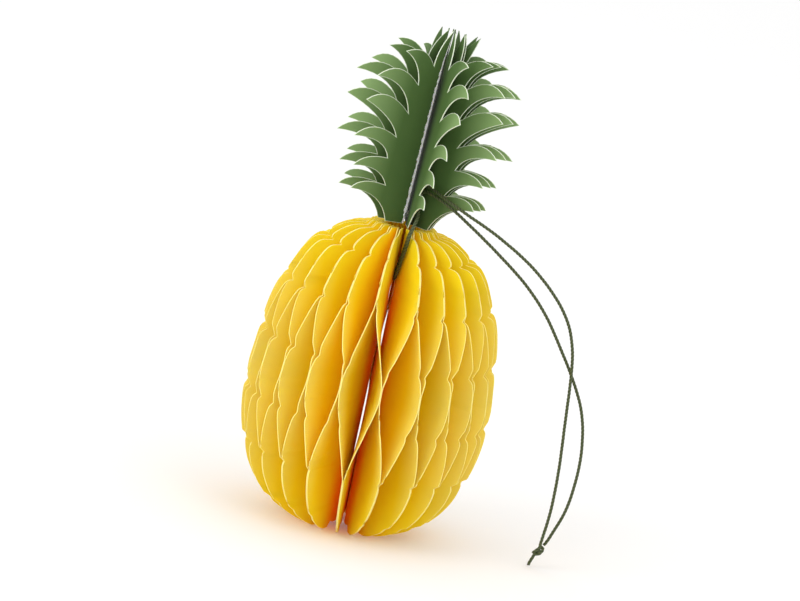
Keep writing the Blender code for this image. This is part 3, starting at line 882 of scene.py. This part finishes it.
        share = add_node(tree, "ShaderNodeMath", {0: begun, 1: read["droop"]}, operation="MULTIPLY")
        drop = add_node(tree, "ShaderNodeMath", {0: share, 1: reach}, operation="MULTIPLY")
        lowered = add_node(tree, "ShaderNodeMath", {0: height, 1: drop}, operation="SUBTRACT")
        lifted = add_node(tree, "ShaderNodeCombineXYZ", {2: lowered})
        spot = add_node(tree, "ShaderNodeVectorMath", {0: level, 1: lifted}, operation="ADD")
        bent = add_node(tree, "GeometryNodeSetPosition", {"Geometry": flat, "Position": spot})
        card = add_node(tree, "GeometryNodeGroup", {
            "Sheet": bent, "Card": get["Card"], "Weld": get["Weld"],
        }, node_tree=self.stock.thicken())
        seated = add_node(tree, "GeometryNodeTransform", {
            "Geometry": card, "Translation": get["Seat"], "Rotation": get["Lean"],
        })
        done = add_node(tree, "GeometryNodeSetMaterial", {"Geometry": seated, "Material": get["Material"]})
        feed(tree, result, {0: done})
        return tree

    def build(self, nodes: list[str]) -> bpy.types.Object:
        """Makes the crown as one piece, seated where its solids stand.

        Args:
            nodes: The solids that it stands for.

        Returns:
            The finished crown.
        """
        leaf = self.stock.flat_leaf("crown leaf template", self.outline())
        inputs = {
            "Leaf": leaf, "Material": self.finish.build(), **inputs_from(self.stock, ("card", "weld")),
            **inputs_from(self, self.SIZES), "Seat": (0.0, 0.0, self.seat), "Lean": (0.0, self.lean, 0.0),
        }
        piece = grow("leaf_crown", self.spots(), self.tree(inputs), inputs)
        bpy.data.objects.remove(leaf)
        stand_in(piece, Slot.GREEN, *nodes)
        return piece


@dataclass
class HangingCord:
    """The doubled cord: two strands of three twisted plies each, and the knot that joins them."""

    # The fields that the tree takes.
    SIZES: ClassVar[tuple[str, ...]] = (
        "diameter", "plies", "ply_share", "groove_facing", "lay", "ring", "sides",
    )
    finish: CordFinish
    diameter: float = 1.0 * MM
    plies: int = 3
    ply_share: float = 0.27  # a ply's radius as a share of the cord's diameter
    groove_facing: float = -0.1  # a ply's skin that faces outward less than this gets all of the painted groove shade
    lay: float = 3.4 * MM  # length of one turn of a ply
    ring: float = 0.25 * MM
    sides: int = 7
    route_steps: int = 8
    # The strands' routes, as (x, y, z) in millimetres.
    outer: tuple = (
        (-0.1, 4.6, 77.0), (0.1, -1.0, 77.0), (0.4, -4.8, 77.6), (0.8, -6.8, 80.2), (1.3, -8.4, 83.8),
        (1.8, -9.7, 87.4), (2.15, -10.1, 90.4), (2.75, -9.6, 92.3), (3.1, -8.3, 93.8), (2.9, -6.2, 95.6),
        (2.3, -3.9, 97.9), (1.95, -2.7, 100.6), (2.6, -3.1, 103.0), (4.8, -5.0, 104.4),
        (11.4, -10.3, 102.3), (17.6, -12.4, 99.9), (27.1, -12.8, 95.8), (38.1, -12.2, 89.4),
        (46.8, -11.4, 82.0), (52.4, -10.6, 74.8), (55.4, -10.0, 67.2), (56.8, -9.6, 58.8),
        (58.0, -9.1, 45.2), (59.2, -8.6, 30.8), (59.5, -8.0, 18.6), (58.9, -7.4, 10.0), (58.65, -7.1, 7.4),
    )
    inner: tuple = (
        (0.1, 4.6, 75.6), (0.1, -1.0, 75.5), (0.5, -5.6, 75.9), (1.0, -8.1, 78.6), (1.55, -9.9, 82.9),
        (2.1, -11.3, 87.0), (2.5, -11.9, 90.8), (3.05, -11.2, 93.4), (3.5, -9.4, 95.2), (3.4, -7.1, 97.1),
        (3.0, -4.9, 99.3), (2.95, -3.95, 101.1), (3.7, -4.6, 102.5), (5.8, -6.2, 102.7),
        (11.7, -9.7, 100.8), (19.8, -11.3, 96.2), (29.3, -11.0, 89.8), (38.2, -10.2, 83.0),
        (45.8, -9.3, 75.2), (52.6, -8.4, 65.6), (57.6, -7.6, 57.8), (61.6, -7.2, 50.1),
        (63.9, -6.8, 42.0), (64.9, -6.6, 32.0), (64.0, -6.4, 19.8), (61.1, -6.3, 10.4), (59.8, -6.3, 7.3),
    )
    # The knot's turns, from the strands' ends round to the cut tail on the ground.
    knot: tuple = (
        (58.7, -7.0, 7.6), (58.6, -7.5, 6.3), (57.6, -7.5, 5.3), (57.2, -6.6, 4.6), (57.8, -5.7, 5.0),
        (58.7, -5.6, 6.0), (59.5, -6.2, 6.5), (59.7, -7.1, 5.9), (59.0, -7.6, 4.9), (58.1, -7.1, 4.4),
        (58.1, -6.2, 4.9), (58.8, -5.8, 5.6), (58.5, -6.3, 5.2), (57.7, -6.6, 4.1), (57.2, -6.4, 2.8),
        (56.8, -6.3, 1.6), (56.5, -6.2, 0.5),
    )

    def route(self, points: tuple) -> list[Vector]:
        """The smooth line through a route's points, in metres."""
        return smooth_through([Vector(point) * MM for point in points], self.route_steps)

    def tree(self, inputs: dict[str, Any]) -> bpy.types.NodeTree:
        """Builds the tree that twists plies round a curve.

        Args:
            inputs: The material and the cord's sizes, by the names of the tree's inputs.

        Returns:
            A tree that takes them, and the host's curve as Line.
        """
        tree, get, result = new_tree("twisted cord", {"Line": "NodeSocketGeometry", **inputs})
        even = add_node(tree, "GeometryNodeResampleCurve", {
            "Curve": get["Line"], "Length": get["Ring"],
        }, mode="LENGTH")
        copies = add_node(tree, "GeometryNodeDuplicateElements", {
            "Geometry": even, "Amount": get["Plies"],
        }, domain="SPLINE")
        along = add_node(tree, "GeometryNodeSplineParameter").outputs["Length"]
        turns = add_node(tree, "ShaderNodeMath", {0: along, 1: get["Lay"]}, operation="DIVIDE")
        start = add_node(tree, "ShaderNodeMath", {
            0: copies.outputs["Duplicate Index"], 1: get["Plies"],
        }, operation="DIVIDE")
        total = add_node(tree, "ShaderNodeMath", {0: turns, 1: start}, operation="ADD")
        angle = add_node(tree, "ShaderNodeMath", {0: total, 1: math.tau}, operation="MULTIPLY")
        ply = add_node(tree, "ShaderNodeMath", {
            0: get["Diameter"], 1: get["Ply share"],
        }, operation="MULTIPLY")
        half = add_node(tree, "ShaderNodeMath", {0: get["Diameter"], 1: 0.5}, operation="MULTIPLY")
        off = add_node(tree, "ShaderNodeMath", {0: half, 1: ply}, operation="SUBTRACT")
        tangent = add_node(tree, "GeometryNodeInputTangent")
        normal = add_node(tree, "GeometryNodeInputNormal")
        level = add_node(tree, "ShaderNodeVectorMath", {0: normal, "Scale": off}, operation="SCALE")
        turned = add_node(tree, "ShaderNodeVectorRotate", {
            "Vector": level, "Axis": tangent, "Angle": angle,
        }, rotation_type="AXIS_ANGLE")
        away = add_node(tree, "ShaderNodeVectorMath", {0: turned}, operation="NORMALIZE")
        kept = add_node(tree, "GeometryNodeStoreNamedAttribute", {
            "Geometry": copies, "Name": "outward", "Value": away,
        }, data_type="FLOAT_VECTOR")
        twisted = add_node(tree, "GeometryNodeSetPosition", {"Geometry": kept, "Offset": turned})
        circle = add_node(tree, "GeometryNodeCurvePrimitiveCircle", {
            "Resolution": get["Sides"], "Radius": ply,
        })
        skin = add_node(tree, "GeometryNodeCurveToMesh", {
            "Curve": twisted, "Profile Curve": circle, "Fill Caps": True,
        })
        outward = add_node(tree, "GeometryNodeInputNamedAttribute", {
            "Name": "outward",
        }, data_type="FLOAT_VECTOR")
        facing = add_node(tree, "ShaderNodeVectorMath", {
            0: outward, 1: add_node(tree, "GeometryNodeInputNormal"),
        }, operation="DOT_PRODUCT")
        # the share of painted highlight on a ply's crest against painted shade in its groove
        crest = add_node(tree, "ShaderNodeMapRange", {
            "Value": facing.outputs["Value"], "From Min": get["Groove facing"],
        })
        marked = add_node(tree, "GeometryNodeStoreNamedAttribute", {
            "Geometry": skin, "Name": "crest", "Value": crest,
        }, data_type="FLOAT")
        done = add_node(tree, "GeometryNodeSetMaterial", {"Geometry": marked, "Material": get["Material"]})
        feed(tree, result, {0: done})
        return tree

    def twist(self, name: str, line: list[Vector], tree: bpy.types.NodeTree,
              inputs: dict[str, Any]) -> bpy.types.Object:
        """Makes one twisted cord along a line.

        Args:
            name: The piece's name.
            line: The points of its middle, in metres.
            tree: The tree that twists plies.
            inputs: What the tree takes.

        Returns:
            The finished cord as a mesh.
        """
        curve = bpy.data.curves.new(name, "CURVE")
        curve.dimensions = "3D"
        spline = curve.splines.new("POLY")
        spline.points.add(len(line) - 1)
        for spot, point in zip(spline.points, line):
            spot.co = (*point, 1.0)
        return grow(name, link(f"{name} host", curve), tree, inputs)

    def build(self) -> list[bpy.types.Object]:
        """Returns:
            The three finished pieces.
        """
        inputs = {"Material": self.finish.build(), **inputs_from(self, self.SIZES)}
        tree = self.tree(inputs)
        knot = self.twist("tied_knot", self.route(self.knot), tree, inputs)
        stand_in(knot, Slot.CORD, "cord_knot")
        pieces = [knot]
        for name, node, points in (
            ("outer_strand", "cord_strand_outer", self.outer),
            ("inner_strand", "cord_strand_inner", self.inner),
        ):
            line = self.route(points)
            strand = self.twist(name, line, tree, inputs)
            stand_in(strand, Slot.CORD, node)
            pieces.append(strand)
        return pieces


@dataclass(frozen=True)
class Lamp:
    """A square soft lamp that faces the object."""

    name: str
    place: tuple[float, float, float]
    side: float
    watts: float
    colour: str

    def hang(self, target: Vector) -> None:
        """Hangs the lamp.

        Args:
            target: The point that it faces.
        """
        data = bpy.data.lights.new(self.name, "AREA")
        data.size = self.side
        data.energy = self.watts
        data.color = linear(self.colour)[:3]
        way = (Vector(self.place) - target).to_track_quat("Z", "Y").to_matrix()
        link(self.name, data).matrix_world = Matrix.Translation(self.place) @ way.to_4x4()


@dataclass
class Studio:
    """A white table under a soft light tent, and the camera of the photograph."""

    LAMPS: ClassVar[tuple[Lamp, ...]] = (
        Lamp("key", place=(0.55, -0.75, 1.05), side=0.6, watts=1.5, colour="#FFF8EE"),
        Lamp("fill", place=(-0.9, -0.7, 0.7), side=0.8, watts=4.0, colour="#FFFCF6"),
    )
    target: Vector = Vector((3.5 * MM, 0.0, 68.8 * MM))
    distance: float = 1.3
    far: float = 20.0
    elevation: float = math.radians(11.2)
    roll: float = math.radians(12.0)
    lens: float = 200.0
    sensor: float = 36.0
    table_half: float = 3.0
    table_white: str = "#F4F4F4"
    table_roughness: float = 0.9
    table_sheen: float = 0.1
    table_glow: float = 0.07  # seen by the camera alone, so that the table fades to pure white
    sky: float = 1.0
    bounces: int = 16  # the depths between leaves are lit by light that has been thrown on often

    def camera(self) -> None:
        """Places the camera in front of the seam, rolled as the photograph's was."""
        data = bpy.data.cameras.new("camera")
        data.lens = self.lens
        data.sensor_width = self.sensor
        data.clip_end = self.far
        camera = link("camera", data)
        back = Vector((0.0, -math.cos(self.elevation), math.sin(self.elevation)))
        turn = back.to_track_quat("Z", "Y").to_matrix() @ Matrix.Rotation(self.roll, 3, "Z")
        camera.matrix_world = Matrix.Translation(self.target + back * self.distance) @ turn.to_4x4()
        bpy.context.scene.camera = camera

    def table(self) -> None:
        """Lays the white table, which keeps the object's shadow."""
        sheet = bmesh.new()
        bmesh.ops.create_grid(sheet, x_segments=1, y_segments=1, size=self.table_half)
        mesh = bpy.data.meshes.new("table")
        sheet.to_mesh(mesh)
        sheet.free()
        table = link("table", mesh)
        made, tree, shader = new_material("white table")
        path = add_node(tree, "ShaderNodeLightPath")
        glow = add_node(tree, "ShaderNodeMath", {
            0: path.outputs["Is Camera Ray"], 1: self.table_glow,
        }, operation="MULTIPLY")
        feed(tree, shader, {
            "Base Color": linear(self.table_white), "Roughness": self.table_roughness,
            "Specular IOR Level": self.table_sheen, "Emission Color": linear("#FFFFFF"),
            "Emission Strength": glow,
        })
        mesh.materials.append(made)

    def tent(self) -> None:
        """Lights the tent evenly, and shows it white to the camera and in reflections."""
        world = bpy.data.worlds.new("light tent")
        bpy.context.scene.world = world
        world.use_nodes = True
        tree = world.node_tree
        tree.nodes.clear()
        path = add_node(tree, "ShaderNodeLightPath")
        shown = path.outputs["Is Camera Ray"]
        for ray in ("Is Transmission Ray", "Is Glossy Ray"):
            shown = add_node(tree, "ShaderNodeMath", {
                0: shown, 1: path.outputs[ray],
            }, operation="ADD", use_clamp=True)
        strength = add_node(tree, "ShaderNodeMapRange", {"Value": shown, "To Min": self.sky, "To Max": 1.0})
        light = add_node(tree, "ShaderNodeBackground", {"Color": linear("#FFFFFF"), "Strength": strength})
        out = add_node(tree, "ShaderNodeOutputWorld", {0: light})
        out.is_active_output = True

    def build(self) -> None:
        """Sets the camera, the table, the tent and the lamps."""
        self.camera()
        scene = bpy.context.scene
        scene.view_settings.view_transform = "Standard"
        scene.cycles.max_bounces = self.bounces
        scene.cycles.diffuse_bounces = self.bounces
        self.table()
        self.tent()
        for lamp in self.LAMPS:
            lamp.hang(self.target)


def main() -> None:
    """Builds the studio, the cord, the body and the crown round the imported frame."""
    logging.basicConfig(level=logging.INFO, format="%(name)s: %(message)s")
    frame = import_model()
    Studio().build()
    names = sorted(frame["nodes"])
    yellow = CardFinish(
        # the rim colour is painted light and sheen towards the leaves' outer reach
        name="dyed yellow card", face="#F9E11A", cloud="#F8DB15", rim="#F2DE72", rim_mm=(20.0, 34.0),
        # the orange along the spine is painted shade and glow of the depths
        painted_spine_shade="#FFA807", painted_spine_shade_mm=11.0, cut_edge="#FFF08C", roughness=0.55, sheen_level=0.35,
        bleed=0.4, bleed_radius_mm=(0.45, 0.45, 0.03),
    )
    green = CardFinish(
        # the rim colour is painted light towards the leaves' outer reach
        name="dyed green card", face="#526E3A", cloud="#4B6835", rim="#8AA86C", rim_mm=(9.0, 25.0),
        # the near-black along the spine is painted shade
        painted_spine_shade="#141D0E", painted_spine_shade_mm=5.5, cut_edge="#E6F0D8", roughness=0.6, sheen_level=0.2,
        bleed=0.15, bleed_radius_mm=(0.15, 0.2, 0.08),
    )
    pieces = HangingCord(CordFinish()).build()
    body = HoneycombBody(CardStock(card=0.26 * MM), yellow)
    crown = Crown(CardStock(card=0.29 * MM, level_step_mm=0.8, margin_mm=0.18), green)
    pieces.append(body.build([name for name in names if name.startswith("body_leaf")]))
    pieces.append(crown.build([name for name in names if name.startswith("crown_leaf")]))
    for piece in pieces:
        LOG.info("%s: %d triangles", piece.name, sum(len(p.vertices) - 2 for p in piece.data.polygons))


if __name__ == "__main__":
    main()
